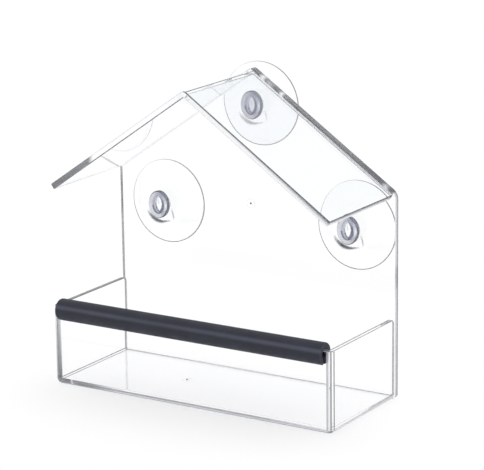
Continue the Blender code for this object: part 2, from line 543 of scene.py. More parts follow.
def let_light_out(tree, shader, passed):
    """Mix in a plain see-through shader for lamps, for diffuse light and for light that a sheet holds in."""
    path = tree.nodes.new("ShaderNodeLightPath").outputs
    soft = math_node(tree, "MAXIMUM", path["Is Shadow Ray"], path["Is Diffuse Ray"])
    kept_in = math_node(tree, "GREATER_THAN", path["Glossy Depth"], HELD_LIGHT_BOUNCES)
    clear = new_node(tree, "ShaderNodeBsdfTransparent", Color=passed)
    mix = tree.nodes.new("ShaderNodeMixShader")
    feed(tree, mix.inputs[0], math_node(tree, "MAXIMUM", soft, kept_in))
    feed(tree, mix.inputs[1], shader.outputs[0])
    feed(tree, mix.inputs[2], clear.outputs[0])
    feed(tree, tree.nodes["Material Output"].inputs["Surface"], mix.outputs[0])


def clear_material(name, tint, ior, mirror, polish, wave_scale):
    """Clean clear plastic with faint scratches, dust and waviness."""
    if name in bpy.data.materials:
        return bpy.data.materials[name]
    material, tree, shader = new_material(
        name,
        Base_Color=with_alpha(tint),
        Metallic=0,
        Transmission_Weight=1,
        IOR=ior,
        Specular_Tint=(mirror, mirror, mirror, 1),
    )
    add_handled_surface(tree, shader, polish, wave_scale)
    let_light_out(tree, shader, passed=(0.997, 0.998, 0.999, 1))
    return material


def toned_material(name, shades, ior, clearness, polish, wave_scale):
    """Half-clear plastic whose colour runs through three shades, dark to light, with the tone attribute,
    which holds painted light and shade.
    """
    if name in bpy.data.materials:
        return bpy.data.materials[name]
    material, tree, shader = new_material(name, Metallic=0, Transmission_Weight=clearness, IOR=ior)
    tone = tree.nodes.new("ShaderNodeAttribute")
    tone.attribute_name = PAINTED_TONE
    ramp = new_node(tree, "ShaderNodeValToRGB", Fac=tone.outputs["Fac"])
    stops = ramp.color_ramp.elements
    stops.new(MIDDLE_TONE)
    for stop, place, shade in zip(stops, (0.0, MIDDLE_TONE, 1.0), shades):
        stop.position = place
        stop.color = with_alpha(shade)
    feed(tree, shader.inputs["Base Color"], ramp.outputs[0])
    add_handled_surface(tree, shader, polish, wave_scale)
    let_light_out(tree, shader, passed=(0.93, 0.935, 0.95, 1))
    return material


def clean_sheet(name, tint, mirror):
    """The clear plastic of a sheet's broad faces."""
    return clear_material(name, tint, HARD_PLASTIC_IOR, mirror, sheet_settings().polish, wave_scale=18)


def clear_sheet_material(node):
    """A sheet's broad faces, in the tint that its thickness and angle give it."""
    values = sheet_settings()
    tints = {"back_panel": values.tint, "roof": values.roof_tint, "seed_tray": values.tray_tint}
    mirror = values.tray_mirror if node == "seed_tray" else values.mirror
    return clean_sheet("sheet_of_" + node, tints[node], mirror)


def doubled_roof_material():
    """The roof's plastic, in painted shade, where one side is seen through the other."""
    values = sheet_settings()
    return clean_sheet("doubled_roof", values.doubled_roof_shade, values.mirror)


def sheet_edge_material():
    """The sheets' rounded and cut edges, in painted light and shade."""
    values = sheet_settings()
    shades = (values.edge_dark, values.edge_middle, values.edge_light)
    return toned_material(
        "sheet_edge", shades, HARD_PLASTIC_IOR, values.edge_clearness, values.edge_polish, wave_scale=60
    )


def soft_skirt(name, tint):
    """The clear plastic of a cup's thin skirt."""
    polish = cup_settings().polish
    return clear_material(name, tint, SOFT_PLASTIC_IOR, mirror=0.5, polish=polish, wave_scale=120)


def cup_skirt_material():
    """The cups' thin skirts."""
    return soft_skirt("clear_soft_skirt", cup_settings().tint)


def shaded_skirt_material(side):
    """The same plastic, in painted shade where the cup is seen through the roof, most of all on the top cup.
    """
    values = cup_settings()
    return soft_skirt("shaded_skirt_" + side, values.top_roof_shade if side == "top" else values.right_roof_shade)


def cup_head_material():
    """The cups' thick heads, with their recess, ring and outline in painted light and shade."""
    values = cup_settings()
    shades = (values.head_shade, values.head_middle, values.head_light)
    return toned_material(
        "soft_cup_head", shades, SOFT_PLASTIC_IOR, values.head_clearness, values.polish, wave_scale=160
    )


def foam_material():
    """Dark closed-cell foam with paler flecks, a faint sheen and a painted highlight along its upper front.
    """
    values = perch_settings()
    material, tree, shader = new_material(
        "perch_foam",
        Metallic=0,
        Sheen_Weight=0.12,
        Sheen_Roughness=0.5,
        Sheen_Tint=(0.75, 0.78, 0.9, 1),
        Specular_IOR_Level=0.35,
    )
    low, high = BOXES["perch_sleeve"]
    radius = (high.y - low.y) / 2
    cells = tree.nodes.new("ShaderNodeGroup")
    cells.node_tree = foam_cells_group()
    set_inputs(
        tree,
        cells,
        Cell_Size=values.cell_size,
        Rubbed_Share=0.3,
        Crest_Y=low.y + radius * (1 - math.cos(CREST_ANGLE)),
        Crest_Z=high.z - radius * (1 - math.sin(CREST_ANGLE)),
    )
    # The paler flecks and the painted highlight, which also make the foam a little smoother
    rubbed = cells.outputs["Rubbed"]
    bump = new_node(tree, "ShaderNodeBump", Strength=0.35, Distance=0.00012, Height=cells.outputs["Height"])
    set_inputs(
        tree,
        shader,
        Base_Color=mix_colour(tree, rubbed, with_alpha(values.colour), with_alpha(values.fleck_and_highlight_colour)),
        Roughness=math_node(tree, "SUBTRACT", 0.78, math_node(tree, "MULTIPLY", rubbed, 0.35)),
        Normal=bump.outputs[0],
    )
    return material


def link(name, data):
    """An object for a mesh, a light or a camera, in the scene."""
    thing = bpy.data.objects.new(name, data)
    bpy.context.scene.collection.objects.link(thing)
    return thing


def settled(thing):
    """Bake an object's modifiers into its mesh."""
    bpy.context.view_layer.update()
    evaluated = thing.evaluated_get(bpy.context.evaluated_depsgraph_get())
    mesh = bpy.data.meshes.new_from_object(evaluated)
    thing.modifiers.clear()
    old = thing.data
    thing.data = mesh
    bpy.data.meshes.remove(old)
    mesh.name = thing.name
    return thing


# The material slots of a sheet, of which the roof alone has the last
CLEAN = 0
EDGE = 1
DOUBLED = 2


def held(value):
    """A value that is kept between 0 and 1."""
    return max(0.0, min(1.0, value))


def bump_at(value, middle, width):
    """1 at the middle, falling smoothly to 0 at a width away from it."""
    away = held(abs(value - middle) / width)
    return (1 - away) ** 2 * (1 + 2 * away)


def mottle(place, scale):
    """A slow, fixed unevenness between -1 and 1."""
    return noise.noise(place * scale)


def paint_edges(mesh, tone_of):
    """Store the painted light and shade as a tone for each corner of the toned faces, and leave those in the
    first slot white.
    """
    layer = mesh.attributes.new(PAINTED_TONE, "FLOAT", "CORNER")
    for polygon in mesh.polygons:
        for corner in polygon.loop_indices:
            place = mesh.vertices[mesh.loops[corner].vertex_index].co
            tone = tone_of(polygon, place) if polygon.material_index else 1.0
            layer.data[corner].value = held(tone) ** TONE_POWER


def softened_copy(node, name, is_edge_face, tone_of, cuts):
    """A copy of one of the frame's solids, with rounded edges in painted light and shade, cut along some
    planes.
    """
    values = sheet_settings()
    solid = bmesh.new()
    solid.from_mesh(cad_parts[node].data)
    bmesh.ops.remove_doubles(solid, verts=solid.verts, dist=SAME_PLACE)
    bmesh.ops.dissolve_limit(solid, angle_limit=math.radians(1), verts=solid.verts, edges=solid.edges)
    sharp = [e for e in solid.edges if e.is_manifold and e.calc_face_angle() > SHARP_ANGLE]
    bmesh.ops.bevel(
        solid,
        geom=sharp,
        offset=values.edge_round,
        segments=values.round_steps,
        profile=0.5,
        affect="EDGES",
        material=EDGE,
        clamp_overlap=True,
    )
    for point, across in cuts:
        bmesh.ops.bisect_plane(
            solid,
            geom=solid.verts[:] + solid.edges[:] + solid.faces[:],
            plane_co=point,
            plane_no=across,
        )
    bmesh.ops.remove_doubles(solid, verts=solid.verts, dist=SAME_PLACE)
    bmesh.ops.dissolve_degenerate(solid, edges=solid.edges, dist=SAME_PLACE)
    for face in solid.faces:
        if is_edge_face(face.normal, face.calc_center_median()):
            face.material_index = EDGE
    bmesh.ops.triangulate(solid, faces=[f for f in solid.faces if len(f.verts) > 4])
    mesh = bpy.data.meshes.new(name)
    solid.to_mesh(mesh)
    solid.free()
    mesh.shade_smooth()
    for polygon in mesh.polygons:
        tones = [tone_of(polygon, mesh.vertices[i].co) for i in polygon.vertices]
        if polygon.material_index and min(tones) > CLEAR_TONE:
            polygon.material_index = CLEAN
    paint_edges(mesh, tone_of)
    mesh.materials.append(clear_sheet_material(node))
    mesh.materials.append(sheet_edge_material())
    thing = link(name, mesh)
    weighted = thing.modifiers.new("flat_faces_stay_flat", "WEIGHTED_NORMAL")
    weighted.weight = 80
    return settled(thing)


def cuts_across(places):
    """Planes square to the X axis at these places."""
    return [(Vector((place, 0, 0)), Vector((1, 0, 0))) for place in places]


# The roof and the panel's upper edges slope alike, and the panel's would meet at the apex
SLOPE = math.atan2(0.0513, 0.075)
APEX = Vector((0, 0, 0.148))

# The strip of the panel that stands above the roof, which takes painted shade as a dark band, and the plane
# that bounds it
STRIP_WIDTH = 0.0010
STRIP_FOOT = APEX - Vector((0, 0, STRIP_WIDTH / math.cos(SLOPE)))
STRIP_UP = Vector((math.sin(SLOPE), 0, math.cos(SLOPE)))

# The panel is cut where the painted light and shade of its edges change, most often at the painted streaks
# of light on its right slope
PANEL_CUTS = [
    *cuts_across((0.0040, 0.0058, 0.0076, 0.0095, 0.0125, 0.0145, 0.0158, 0.0172)),
    *cuts_across((0.0220, 0.0340, 0.0480, 0.0620, 0.0680, 0.0700, 0.0716)),
    (STRIP_FOOT, STRIP_UP),
]

# A line on the roof's left side, from near the ridge at the front to further out at the rear. Behind it, the
# photograph's camera sees the roof through its right side, and the roof there is in painted shade
DOUBLED_FRONT_X = -0.0030
DOUBLED_REAR_X = -0.0278
DOUBLED_DEPTH = BOXES["roof"][1].y - BOXES["roof"][0].y
DOUBLED_FROM = Vector((DOUBLED_FRONT_X, BOXES["roof"][0].y, 0.0))
DOUBLED_ACROSS = Vector((DOUBLED_DEPTH, DOUBLED_FRONT_X - DOUBLED_REAR_X, 0.0)).normalized()

# The roof is cut where the painted light and shade of its edges change, and along that line
ROOF_CUTS = [
    *cuts_across((-0.0715, -0.0620, -0.0560, -0.0525, -0.0500, -0.0020, 0.0020)),
    (DOUBLED_FROM, DOUBLED_ACROSS),
]


def below_slope(place):
    """How far a place lies inside the panel's sloping edges."""
    return (APEX.z - abs(place.x) * math.tan(SLOPE) - place.z) * math.cos(SLOPE)


def panel_is_edge(normal, centre):
    """True for the panel's narrow faces and for its strip above the roof's right half, which take painted
    light and shade.
    """
    strip = 0 < centre.x < 0.0735 and below_slope(centre) < STRIP_WIDTH and normal.y < -0.5
    return abs(normal.y) < 0.5 or strip


def panel_tone(polygon, place):
    """The panel's edges in painted light and shade: dark along the right slope, with painted streaks of
    light, pale down the right side, and dark seen from within.
    """
    at_rear = (place.y - PANEL_FRONT_Y) / (PANEL_REAR_Y - PANEL_FRONT_Y)
    in_hole = any(math.hypot(place.x - c.x, place.z - c.z) < 0.006 for c in CUP_CENTRES)
    on_slope = below_slope(place) < STRIP_WIDTH + 0.0002 and abs(place.x) < 0.0740
    if in_hole:
        return 0.86
    if on_slope and place.x > 0:
        # Painted streaks of light on the right slope's painted shade
        streaks = 0.55 * bump_at(place.x, 0.0058, 0.0016) + 0.30 * bump_at(place.x, 0.0095, 0.0030)
        streaks += 0.55 * bump_at(place.x, 0.0158, 0.0018) + 0.45 * bump_at(place.x, 0.0700, 0.0022)
        return 0.46 + streaks * (1 - 0.5 * at_rear) + 0.05 * mottle(place, 90)
    if on_slope:
        return 0.62
    if place.x > 0.07:
        return 0.44 if at_rear > 0.85 else 0.95
    if place.x < -0.07:
        return 0.16
    return 0.60 + 0.08 * mottle(place, 60)


def shade_doubled_side(roof):
    """Give the part of the roof's left side that is seen through the right one its painted shade, a deeper
    tint.
    """
    roof.data.materials.append(doubled_roof_material())
    for polygon in roof.data.polygons:
        beyond = (polygon.center - DOUBLED_FROM).dot(DOUBLED_ACROSS) > 0
        if polygon.material_index == CLEAN and beyond and polygon.center.x < -0.0005:
            polygon.material_index = DOUBLED


def roof_is_edge(normal, centre):
    """True for the roof's front and rear ends, its two eaves and its rounded ridge."""
    end = abs(normal.y) > 0.5
    eave = normal.z < 0 and normal.x * centre.x > 0
    ridge = abs(normal.x) < 0.5 and normal.z > 0.5 and abs(centre.x) > 0.0006
    return end or eave or ridge


def roof_tone(polygon, place):
    """The roof's edges in painted light and shade: fine dark lines round pale ends, dark at the eaves and at
    the left end's foot.
    """
    low, high = BOXES["roof"]
    on_upper_line = (high.z - abs(place.x) * math.tan(SLOPE) - place.z) * math.cos(SLOPE) < 0.0014
    flat_end = abs(polygon.normal.y) > 0.98
    front = place.y < low.y + 0.0012
    rear = place.y > high.y - 0.001
    right = place.x > 0
    if abs(place.x) > 0.0725 and (right or not front):
        return 0.40 if right and on_upper_line else 0.97
    if rear:
        return 0.97 if flat_end else 0.66
    if abs(place.x) < 0.0016 and not flat_end and not front:
        return 0.42
    if not front:
        return 0.80
    if right and flat_end:
        return 0.98
    if right:
        return 0.46 if on_upper_line else 0.90
    # Painted shade that deepens towards the left end's foot, unevenly
    foot = held((-0.0500 - place.x) / 0.0025)
    rounded = 0.90 if on_upper_line else 0.50
    pale = 0.98 if flat_end else rounded
    return pale + (0.54 - pale) * foot + 0.05 * foot * mottle(place, 150)


# Inside its outer faces by more than this, the tray's rounding belongs to its inner faces
TRAY_ROUNDING_DEPTH = 0.0019

# The line along the right-hand rim, inside which a painted dark line runs
TRAY_RIM_LINE = 0.0736

# The front wall's face has a strip of painted shade at its left end, with a pale line of painted light in
# it, and one along its foot
TRAY_STRIP_LINE = -0.0706
TRAY_PALE_LINE = -0.0711
TRAY_FOOT_LINE = 0.0033

# The painted highlight, an upright streak of light near the front wall's left end, and how far it reaches to
# each side
TRAY_GLINT_X = -0.0654
TRAY_GLINT_WIDTH = 0.0010

# The tone of the tray's rounded outer edges between their painted dark lines, just dark enough for them to
# stay edges
ROUNDED_TONE = 0.925

# The tray is cut where the painted light and shade of its edges change
TRAY_CUTS = [
    *cuts_across((-0.0717, TRAY_PALE_LINE, TRAY_STRIP_LINE)),
    *cuts_across((TRAY_GLINT_X - TRAY_GLINT_WIDTH, TRAY_GLINT_X, TRAY_GLINT_X + TRAY_GLINT_WIDTH)),
    *cuts_across((-0.0600, -0.0540, -0.0480, -0.0420, -0.0360, 0.0, 0.0360, TRAY_RIM_LINE)),
    (Vector((0, 0, TRAY_FOOT_LINE)), Vector((0, 0, 1))),
]


def tray_is_edge(normal, centre):
    """True for the tray's rims, its rear ends, its rounded edges and the strips of painted shade on its
    front wall.
    """
    high = BOXES["seed_tray"][1]
    rim = normal.z > 0.9 and centre.z > high.z - 0.001
    rear = normal.y > 0.9 and centre.y > high.y - 0.001
    strip = normal.y < -0.9 and (centre.z < TRAY_FOOT_LINE + 0.0001 or centre.x < TRAY_STRIP_LINE)
    return rim or rear or strip or max(abs(normal.x), abs(normal.y), abs(normal.z)) < 0.995


def tray_upright_tone(normal, place, rise):
    """The rounded upright edges of the front wall, in painted light and shade: fine dark lines on the right
    one, a grey band, paler upwards, with a painted streak of light on the left one.
    """
    turn = math.degrees(math.atan2(abs(normal.x), -normal.y))
    if place.x > 0:
        lines = 0.16 * bump_at(turn, 9, 9) + 0.28 * bump_at(turn, 45, 10) + 0.36 * bump_at(turn, 81, 12)
        return ROUNDED_TONE - lines + 0.02 * mottle(place, 120)
    streak = (0.10 + 0.60 * rise) * bump_at(turn, 33, 14)
    stretched = Vector((place.x, place.y, place.z * 0.3))
    return 0.50 + 0.10 * rise + streak + 0.06 * mottle(stretched, 300)


def tray_tone(polygon, place):
    """The tray's edges in painted light and shade: dark lines along its rims, and bands of painted light and
    shade in its rounded edges.
    """
    low, high = BOXES["seed_tray"]
    normal = polygon.normal
    rise = place.z / high.z
    if normal.z > 0.3 and place.z > high.z - 0.0012:
        if place.x > 0.0720 and normal.z > 0.95:
            return 0.45 if polygon.center.x < TRAY_RIM_LINE else 0.97
        return 0.42
    if normal.y > 0.3 and place.y > high.y - 0.0012:
        return 0.46 if place.x > 0.0720 else 0.58
    # Painted shade that grows towards the front wall's left end, and the painted glint
    corner = held((-0.0400 - place.x) / 0.02)
    glint = bump_at(place.x, TRAY_GLINT_X, TRAY_GLINT_WIDTH)
    if normal.y < -0.995:
        if place.x < TRAY_STRIP_LINE + 0.0001 and place.z > 0.0026:
            return 0.46 + (0.30 + 0.90 * bump_at(place.x, TRAY_PALE_LINE, 0.0006)) * rise
        return 0.97 * (1 - corner) + (0.56 + 0.40 * glint + 0.16 * mottle(place, 220)) * corner
    upright = abs(normal.z) < 0.2 and abs(place.x) > 0.0722
    if min(high.x - abs(place.x), place.y - low.y, place.z) > TRAY_ROUNDING_DEPTH:
        return 0.55 if upright and place.x < -0.07 and place.y < low.y + 0.005 else 0.97
    if upright:
        return tray_upright_tone(normal, place, rise)
    if abs(normal.x) < 0.2:
        turn = math.degrees(math.atan2(-normal.z, -normal.y))
        pale = ROUNDED_TONE - 0.22 * bump_at(turn, 9, 10) - 0.22 * bump_at(turn, 45, 10)
        grey = 0.60 + 0.36 * glint * bump_at(turn, 20, 35) + 0.16 * mottle(place, 220)
        return pale * (1 - corner) + grey * corner + 0.02 * mottle(place, 90)
    if abs(normal.y) < 0.2:
        turn = math.degrees(math.atan2(-normal.z, abs(normal.x)))
        return 0.97 if place.x < 0 else ROUNDED_TONE - 0.48 * bump_at(turn, 50, 9)
    return 0.62 + 0.08 * mottle(place, 100)


class FEEDER_OT_panel(Operator):
    """Make the house-shaped back panel from the frame's solid, with rounded edges"""

    bl_idname = "feeder.panel"
    bl_label = "Back panel"

    def execute(self, context):
        panel = softened_copy("back_panel", "panel_sheet", panel_is_edge, panel_tone, PANEL_CUTS)
        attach(panel, "house")
        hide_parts("back_panel")
        return {"FINISHED"}


class FEEDER_OT_roof(Operator):
    """Make the V roof from the frame's solid, with rounded edges"""

    bl_idname = "feeder.roof"
    bl_label = "Roof"

    def execute(self, context):
        roof = softened_copy("roof", "roof_sheet", roof_is_edge, roof_tone, ROOF_CUTS)
        shade_doubled_side(roof)
        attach(roof, "house")
        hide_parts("roof")
        return {"FINISHED"}


class FEEDER_OT_tray(Operator):
    """Make the open seed tray from the frame's solid, with rounded edges"""

    bl_idname = "feeder.tray"
    bl_label = "Seed tray"

    def execute(self, context):
        tray = softened_copy("seed_tray", "tray_shell", tray_is_edge, tray_tone, TRAY_CUTS)
        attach(tray, "house")
        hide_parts("seed_tray")
        return {"FINISHED"}


# The head's half width and half height, and those of the recess in its face
HEAD_HALF = (0.0055, 0.0067)
RECESS_HALF = (0.0032, 0.0044)
RECESS_DEPTH = 0.0018

# The neck through the panel's hole, and the air between the cup and each of the panel's faces
NECK_RADIUS = 0.0040
PANEL_GAP = 0.0003

# The skirt: its round shoulder, the thickness of its rim, and the dish inside its sealing lip
SHOULDER_RADIUS = 0.0096
SHOULDER_DEPTH = 0.0015
RIM_THICKNESS = 0.0008
LIP_WIDTH = 0.0015
DISH_DEPTH = 0.0028

# Behind the roof, the top cup's head is painted darker and the painted shade on its skirt is fainter, by
# these factors
TOP_HEAD_SHADE = 0.88
TOP_SKIRT_STRENGTH = 0.4

# The material slots of a cup, after the first one, which is its clear skirt's
HEAD = 1
OUTLINE = 2
SHADED = 3

# The painted light and shade of the head's front ring, as a tone by the angle from the right-hand side
RING_TONES = (
    (0, 0.96),
    (35, 0.79),
    (60, 0.74),
    (90, 0.84),
    (125, 1.01),
    (180, 1.07),
    (225, 1.07),
    (265, 1.04),
    (300, 0.89),
    (330, 0.85),
    (360, 0.96),
)

# The palest that the ring becomes, so that it stays a part of the head
RING_LIMIT = 0.975

# The painted light and shade of the head's outline, as a tone by the same angle
OUTLINE_TONES = (
    (0, 0.48),
    (60, 0.62),
    (90, 0.50),
    (130, 0.40),
    (180, 0.70),
    (215, 0.80),
    (250, 0.60),
    (290, 0.46),
    (360, 0.48),
)


def soft_corners(points, reach, steps):
    """A chain of points whose corners are drawn round, no further back than reach or half of a side."""
    chain = [Vector(point) for point in points]
    path = [chain[0]]
    for before, here, after in zip(chain, chain[1:], chain[2:]):
        start = here + (before - here).normalized() * min(reach, (before - here).length / 2.1)
        end = here + (after - here).normalized() * min(reach, (after - here).length / 2.1)
        for i in range(steps + 1):
            t = i / steps
            path.append(start * (1 - t) ** 2 + here * 2 * t * (1 - t) + end * t ** 2)
    path.append(chain[-1])
    return path


def grown(oval, distance, y):
    """A profile point on an oval that has grown outwards by a distance."""
    return (oval[0] + distance, oval[1] + distance, y)


def scaled(oval, share, y):
    """A profile point on an oval that has shrunk to a share of its size."""
    return (oval[0] * share, oval[1] * share, y)


def cup_profile(face, lip, radius):
    """The cup's profile as (half x, half z, y) from the recess's floor round to the dish's middle."""
    back = PANEL_FRONT_Y - PANEL_GAP
    floor = face + RECESS_DEPTH
    across = [scaled(RECESS_HALF, share, floor) for share in (0.02, 0.15, 0.3, 0.42, 0.54, 0.66, 0.78)]
    wall = [
        scaled(RECESS_HALF, 0.88, floor),
        scaled(RECESS_HALF, 0.985, floor - 0.0001),
        grown(RECESS_HALF, 0, face + 0.0002),
        grown(RECESS_HALF, 0.0003, face),
    ]
    ring = [grown(RECESS_HALF, out, face) for out in (0.00045, 0.0006, 0.00075, 0.0009, 0.00105, 0.0012)]
    side = [
        grown(HEAD_HALF, -0.0010, face),
        grown(HEAD_HALF, -0.0001, face + 0.0001),
        grown(HEAD_HALF, 0, (face + back) / 2),
        grown(HEAD_HALF, -0.0001, back - 0.0001),
        grown(HEAD_HALF, -0.0010, back),
        (NECK_RADIUS, NECK_RADIUS, back),
        (NECK_RADIUS, NECK_RADIUS, PANEL_REAR_Y + PANEL_GAP),
    ]
    skirt = [(r, r, y) for r, y in skirt_profile(radius, lip)]
    return (
        across
        + soft_corners(wall, 0.0003, 3)
        + ring
        + soft_corners(side, 0.0008, 6)
        + soft_corners(skirt, 0.00035, 3)
    )


def skirt_profile(radius, lip):
    """The skirt as (radius, y): a flat, then rounded shoulder, out to the rim and back inside the dish."""
    flat = PANEL_REAR_Y + PANEL_GAP
    start = PANEL_REAR_Y + SHOULDER_DEPTH
    rim = lip - RIM_THICKNESS
    dish_radius = radius - LIP_WIDTH
    points = [(r, flat) for r in (0.0045, 0.0055, 0.0065, 0.0072, 0.0078, 0.0082)]
    for r, drop in ((0.0086, 0.00008), (0.0090, 0.00025), (0.0094, 0.0005), (0.0099, 0.00085)):
        points.append((r, flat + drop))
    points.append((0.0105, start + 0.0001))
    for share in (0.13, 0.17, 0.21, 0.25, 0.3, 0.35, 0.42, 0.5, 0.6, 0.7, 0.8, 0.9, 0.945, 0.97, 1.0):
        drop = (share + share ** 2) / 2
        points.append((SHOULDER_RADIUS + (radius - SHOULDER_RADIUS) * share, start + (rim - start) * drop))
    points += [(radius, lip - drop) for drop in (0.0004, 0.0002, 0)]
    points += [(radius - 0.0003, lip), (dish_radius, lip)]
    for share in (0.97, 0.9, 0.8, 0.7, 0.6, 0.5, 0.4, 0.3, 0.2, 0.1, 0.005):
        points.append((dish_radius * share, lip - DISH_DEPTH * (1 - share ** 2)))
    return points


def tone_round(table, angle):
    """The tone at an angle, between the angles of a table that runs from 0 to 360."""
    for (before, first), (after, second) in zip(table, table[1:]):
        if angle <= after:
            return first + (second - first) * (angle - before) / (after - before)
    return table[-1][1]


def out_in_oval(oval, x, z):
    """How far out a place lies in an oval, where 1 is on its outline."""
    return math.hypot(x / oval[0], z / oval[1])


def recess_tone(x, z):
    """The recess's floor in painted light and shade: a pale upright lens of painted light, a band of painted
    shade to its right and a fine dark line round it.
    """
    lens_side = (0.0032, 0.0043)
    right = out_in_oval(lens_side, x + 0.0019, z)
    inside = max(out_in_oval(lens_side, x - 0.0011, z), right)
    if inside < 0.93:
        return 0.995 - 0.10 * bump_at(x, -0.0006, 0.0005) * bump_at(z, 0.0010, 0.0018)
    if right >= 0.93 and x > -0.0003:
        return 0.50 - 0.10 * bump_at(x, 0.0019, 0.0008) + 0.10 * bump_at(z, 0.0030, 0.0020)
    return 0.52 if inside < 1.10 and z < 0.0005 else 0.84


def head_tone(x, z, depth):
    """The painted light and shade of the head's face, ring and outline, from the recess outwards."""
    angle = math.degrees(math.atan2(z, x)) % 360
    out_in_recess = out_in_oval(RECESS_HALF, x, z)
    if out_in_recess < 0.99 and depth > RECESS_DEPTH - 0.0004:
        return recess_tone(x, z)
    if out_in_recess < 1.02 and 190 < angle < 290:
        return 0.97 - 0.50 * bump_at(depth, 0.0004, 0.0005)
    if out_in_recess < 1.02:
        return 0.90 if 90 < angle < 270 else 0.55
    if depth < 0.0004 and out_in_oval(HEAD_HALF, x, z) < 0.93:
        tone = min(RING_LIMIT, tone_round(RING_TONES, angle))
        near_recess = 1 - held((out_in_recess - 1) / 0.28)
        shade = bump_at((angle + 70) % 360, 55, 70)
        return tone + (0.46 - tone) * near_recess * shade
    return tone_round(OUTLINE_TONES, angle) - 0.12 * held(depth / 0.0009)


def is_behind_roof(side, x, z):
    """True where the photograph's camera sees a cup through the roof, and its skirt gets painted shade."""
    if side == "top":
        return z < 0.0158 - math.tan(SLOPE) * abs(x)
    return side == "right" and z > 0.516 * (x + 0.0167) - 0.0008


def skirt_tone(x, z, from_lip, strength):
    """The skirt: clear, with painted shade as a grey rim, a dark crescent and a short dark streak on its
    shoulder.
    """
    angle = math.degrees(math.atan2(z, x)) % 360
    away = math.hypot(x, z)
    at_rim = from_lip < 0.0012 and away > 0.0199
    on_shoulder = from_lip >= 0.0029 and away <= 0.0140
    if at_rim:
        low_left = bump_at(angle, 250, 130)
        return 0.56 - 0.34 * low_left if away > 0.0202 else 1.0 - 0.5 * low_left
    if not on_shoulder:
        return 1.0
    swing = held((275 - angle) / 62)
    breadth = 0.0006 + 0.0013 * bump_at(angle, 236, 45)
    crescent = bump_at(angle, 249, 43) ** 0.5 * bump_at(away, 0.0092 + 0.0022 * swing, breadth)
    streak = bump_at(angle, 316 + (0.0074 - away) * 5200, 4) * bump_at(away, 0.0074, 0.0024)
    return 1.0 - strength * (0.95 * crescent + 0.45 * streak)


def turned_solid(profile, centre, sides):
    """The closed solid that a profile makes when it is drawn round the Y axis through a centre."""
    solid = bmesh.new()
    rings = []
    for half_x, half_z, y in profile:
        ring = []
        for i in range(sides):
            angle = math.tau * i / sides
            place = (centre.x + half_x * math.cos(angle), y, centre.z + half_z * math.sin(angle))
            ring.append(solid.verts.new(place))
        rings.append(ring)
    for near, far in zip(rings, rings[1:]):
        for i in range(sides):
            solid.faces.new((near[i - 1], near[i], far[i], far[i - 1]))
    solid.faces.new(rings[0])
    solid.faces.new(rings[-1])
    bmesh.ops.recalc_face_normals(solid, faces=solid.faces)
    return solid


def turned_cup(side):
    """One cup, oval at the head and round behind the panel, with its faces sorted into its materials."""
    low, high = BOXES["suction_cup_" + side]
    centre = (low + high) / 2
    head_shade = TOP_HEAD_SHADE if side == "top" else 1.0
    skirt_strength = TOP_SKIRT_STRENGTH if side == "top" else 1.0
    solid = turned_solid(cup_profile(low.y, high.y, high.x - centre.x), centre, cup_settings().sides)

    # The painted light and shade of each part of the cup, as a tone
    def tone_of(polygon, place):
        x, z = place.x - centre.x, place.z - centre.z
        if place.y < PANEL_FRONT_Y - 0.0002:
            return head_tone(x, z, place.y - low.y) * head_shade
        if place.y < PANEL_REAR_Y + 0.0002:
            return 0.85
        return skirt_tone(x, z, high.y - place.y, skirt_strength)

    for face in solid.faces:
        middle = face.calc_center_median()
        behind_panel = middle.y > PANEL_REAR_Y
        if min(tone_of(face, v.co) for v in face.verts) < CLEAR_CUP_TONE:
            face.material_index = OUTLINE if behind_panel else HEAD
        elif behind_panel and is_behind_roof(side, middle.x - centre.x, middle.z - centre.z):
            face.material_index = SHADED
    name = "cup_" + side
    mesh = bpy.data.meshes.new(name)
    solid.to_mesh(mesh)
    solid.free()
    mesh.shade_smooth()
    paint_edges(mesh, tone_of)
    mesh.materials.append(cup_skirt_material())
    mesh.materials.append(cup_head_material())
    mesh.materials.append(sheet_edge_material())
    mesh.materials.append(shaded_skirt_material(side))
    return link(name, mesh)


class FEEDER_OT_cups(Operator):
    """Make the suction cups, each on its own body"""

    bl_idname = "feeder.cups"
    bl_label = "Suction cups"

    def execute(self, context):
        for side in CUP_NAMES:
            cup = turned_cup(side)
            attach(cup, side + "_cup")
            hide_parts("suction_cup_" + side)
        return {"FINISHED"}


# The foam's wall, and half the width of the slit that straddles the tray's front wall
SLEEVE_WALL = 0.0026
SLIT_HALF = 0.00155


def open_ring(radius, steps):
    """A ring's places, from one side of the slit underneath round to the other."""
    gap = math.asin(SLIT_HALF / radius)
    places = []
    for i in range(steps + 1):
        angle = gap - math.pi / 2 + (math.tau - 2 * gap) * i / steps
        places.append((radius * math.cos(angle), radius * math.sin(angle), 0))
    return places


def sleeve_outline():
    """The sleeve's cross-section (y, z) about its axis: a ring that is open underneath."""
    low, high = BOXES["perch_sleeve"]
    outer = (high.y - low.y) / 2
    return open_ring(outer, 56) + open_ring(outer - SLEEVE_WALL, 32)[::-1]


def realized(tree, geometry, material):
    """The end of a geometry tree: its instances made real and its material set. Returns the output."""
    whole = new_node(tree, "GeometryNodeRealizeInstances", Geometry=geometry)
    finish = new_node(tree, "GeometryNodeSetMaterial", Geometry=whole.outputs[0], Material=material)
    return finish.outputs[0]


